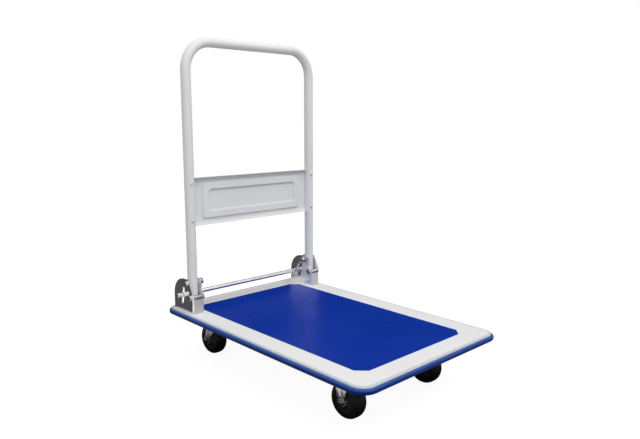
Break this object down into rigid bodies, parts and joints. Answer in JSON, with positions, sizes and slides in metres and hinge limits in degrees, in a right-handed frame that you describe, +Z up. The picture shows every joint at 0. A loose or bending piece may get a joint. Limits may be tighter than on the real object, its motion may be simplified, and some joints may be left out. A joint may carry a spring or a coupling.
{
  "type": "folding platform trolley",
  "caption": "Platform trolley with an inlaid mat, a soft edge bumper, fixed and swivel castors and a tubular push handle that folds flat over the deck when a foot bar is pressed.",
  "frame": {"origin": "on the floor, under the middle of the deck", "axes": "+X forwards, from the handle's end to the open end; +Y to the left; +Z up"},
  "size_m": [0.7202, 0.4682, 0.8245],
  "materials": {
    "off_white_paint": "semi-gloss powder coat",
    "blue_mat": "smooth, slightly glossy sheet",
    "blue_bumper": "smooth extruded strip",
    "zinc_plate": "bright zinc plate",
    "bright_fasteners": "bright zinc plate",
    "plated_bar": "bright plated bar",
    "spring_steel": "plated spring wire",
    "grey_hub": "moulded, satin",
    "black_tyre": "smooth solid rubber"
  },
  "bodies": {
    "deck": {"deck_pan": "off_white_paint", "deck_mat": "blue_mat", "edge_bumper": "blue_bumper", "front_crossmember": "off_white_paint", "rear_crossmember": "off_white_paint", "deck_rails": "off_white_paint", "hinge_bracket_left": "zinc_plate", "hinge_bracket_right": "zinc_plate", "bracket_bolts": "bright_fasteners", "bracket_nuts": "bright_fasteners", "pivot_bolts": "bright_fasteners", "pivot_washers": "bright_fasteners", "pivot_nuts": "bright_fasteners", "spring_bushes": "bright_fasteners", "stop_bolts": "bright_fasteners", "stop_nuts": "bright_fasteners", "bar_springs": "spring_steel", "front_fork_left": "zinc_plate", "front_fork_right": "zinc_plate", "front_axles": "bright_fasteners", "front_axle_nuts": "bright_fasteners", "front_axle_sleeves": "bright_fasteners", "rear_castor_plate_left": "zinc_plate", "rear_castor_plate_right": "zinc_plate", "swivel_races": "zinc_plate", "kingpins": "zinc_plate", "castor_bolts": "bright_fasteners", "castor_nuts": "bright_fasteners"},
    "handle": {"handle_tube": "off_white_paint", "pivot_sleeves": "zinc_plate", "handle_panel": "off_white_paint", "panel_screws": "bright_fasteners", "panel_nuts": "bright_fasteners"},
    "release_bar": {"release_bar": "plated_bar", "bar_clips": "bright_fasteners"},
    "front_wheel_left": {"front_hub_left": "grey_hub", "front_tyre_left": "black_tyre"},
    "front_wheel_right": {"front_hub_right": "grey_hub", "front_tyre_right": "black_tyre"},
    "rear_fork_left": {"rear_fork_left": "zinc_plate", "rear_axle_left": "bright_fasteners", "rear_axle_nut_left": "bright_fasteners", "rear_axle_sleeve_left": "bright_fasteners"},
    "rear_wheel_left": {"rear_hub_left": "grey_hub", "rear_tyre_left": "black_tyre"},
    "rear_fork_right": {"rear_fork_right": "zinc_plate", "rear_axle_right": "bright_fasteners", "rear_axle_nut_right": "bright_fasteners", "rear_axle_sleeve_right": "bright_fasteners"},
    "rear_wheel_right": {"rear_hub_right": "grey_hub", "rear_tyre_right": "black_tyre"}
  },
  "joints": [
    {"name": "handle_fold", "type": "hinge", "parent": "deck", "child": "handle", "pos_m": [-0.2666, 0, 0.2106], "axis": [0, 1, 0], "range_deg": [0, 96]},
    {"name": "release_bar_slide", "type": "slide", "parent": "deck", "child": "release_bar", "axis": [0.2079, 0, 0.9781], "range_m": [-0.019, 0.016], "stiffness_N_per_m": 800, "springref_m": 0.03, "deforming": ["bar_springs"]},
    {"name": "front_wheel_left_spin", "type": "hinge", "parent": "deck", "child": "front_wheel_left", "pos_m": [0.2245, 0.1315, 0.0415], "axis": [0, 1, 0], "continuous": true},
    {"name": "front_wheel_right_spin", "type": "hinge", "parent": "deck", "child": "front_wheel_right", "pos_m": [0.2245, -0.1315, 0.0415], "axis": [0, 1, 0], "continuous": true},
    {"name": "rear_left_swivel", "type": "hinge", "parent": "deck", "child": "rear_fork_left", "pos_m": [-0.252, 0.1315, 0.0942], "axis": [0, 0, 1], "continuous": true},
    {"name": "rear_wheel_left_spin", "type": "hinge", "parent": "rear_fork_left", "child": "rear_wheel_left", "pos_m": [-0.282, 0.1315, 0.0415], "axis": [0, 1, 0], "continuous": true},
    {"name": "rear_right_swivel", "type": "hinge", "parent": "deck", "child": "rear_fork_right", "pos_m": [-0.252, -0.1315, 0.0942], "axis": [0, 0, 1], "continuous": true},
    {"name": "rear_wheel_right_spin", "type": "hinge", "parent": "rear_fork_right", "child": "rear_wheel_right", "pos_m": [-0.282, -0.1315, 0.0415], "axis": [0, 1, 0], "continuous": true}
  ]
}
